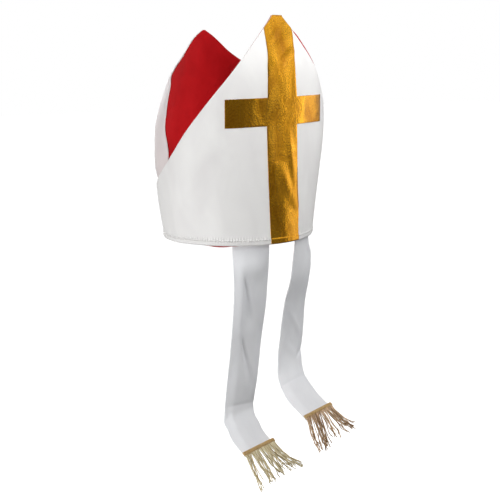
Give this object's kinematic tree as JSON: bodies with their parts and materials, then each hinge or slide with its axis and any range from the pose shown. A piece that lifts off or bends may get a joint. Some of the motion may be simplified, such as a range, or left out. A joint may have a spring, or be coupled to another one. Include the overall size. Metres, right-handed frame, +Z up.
{
  "type": "bishop mitre",
  "caption": "Tall pointed ceremonial hat of stiff white cloth with a red lining, a gold foil cross and fringed lappets hanging from its rim.",
  "frame": {"origin": "centre of the rim, where the hat sits on a head", "axes": "+Z up to the horns; -Y out of the panel with the cross; +X to the right of someone who looks at the cross"},
  "size_m": [0.2286, 0.2972, 0.5684],
  "materials": {
    "white_cloth": "smooth laminated cloth",
    "red_lining": "plain woven lining",
    "gold_foil": "crinkled metallic foil",
    "white_satin": "satin band",
    "gold_fringe": "twisted cord"
  },
  "bodies": {
    "root": {"cross_panel": "white_cloth", "cross_panel_lining": "red_lining", "plain_panel": "white_cloth", "plain_panel_lining": "red_lining", "gold_cross": "gold_foil", "lappet_left": "white_satin", "lappet_right": "white_satin", "fringe_left": "gold_fringe", "fringe_right": "gold_fringe"}
  },
  "joints": []
}
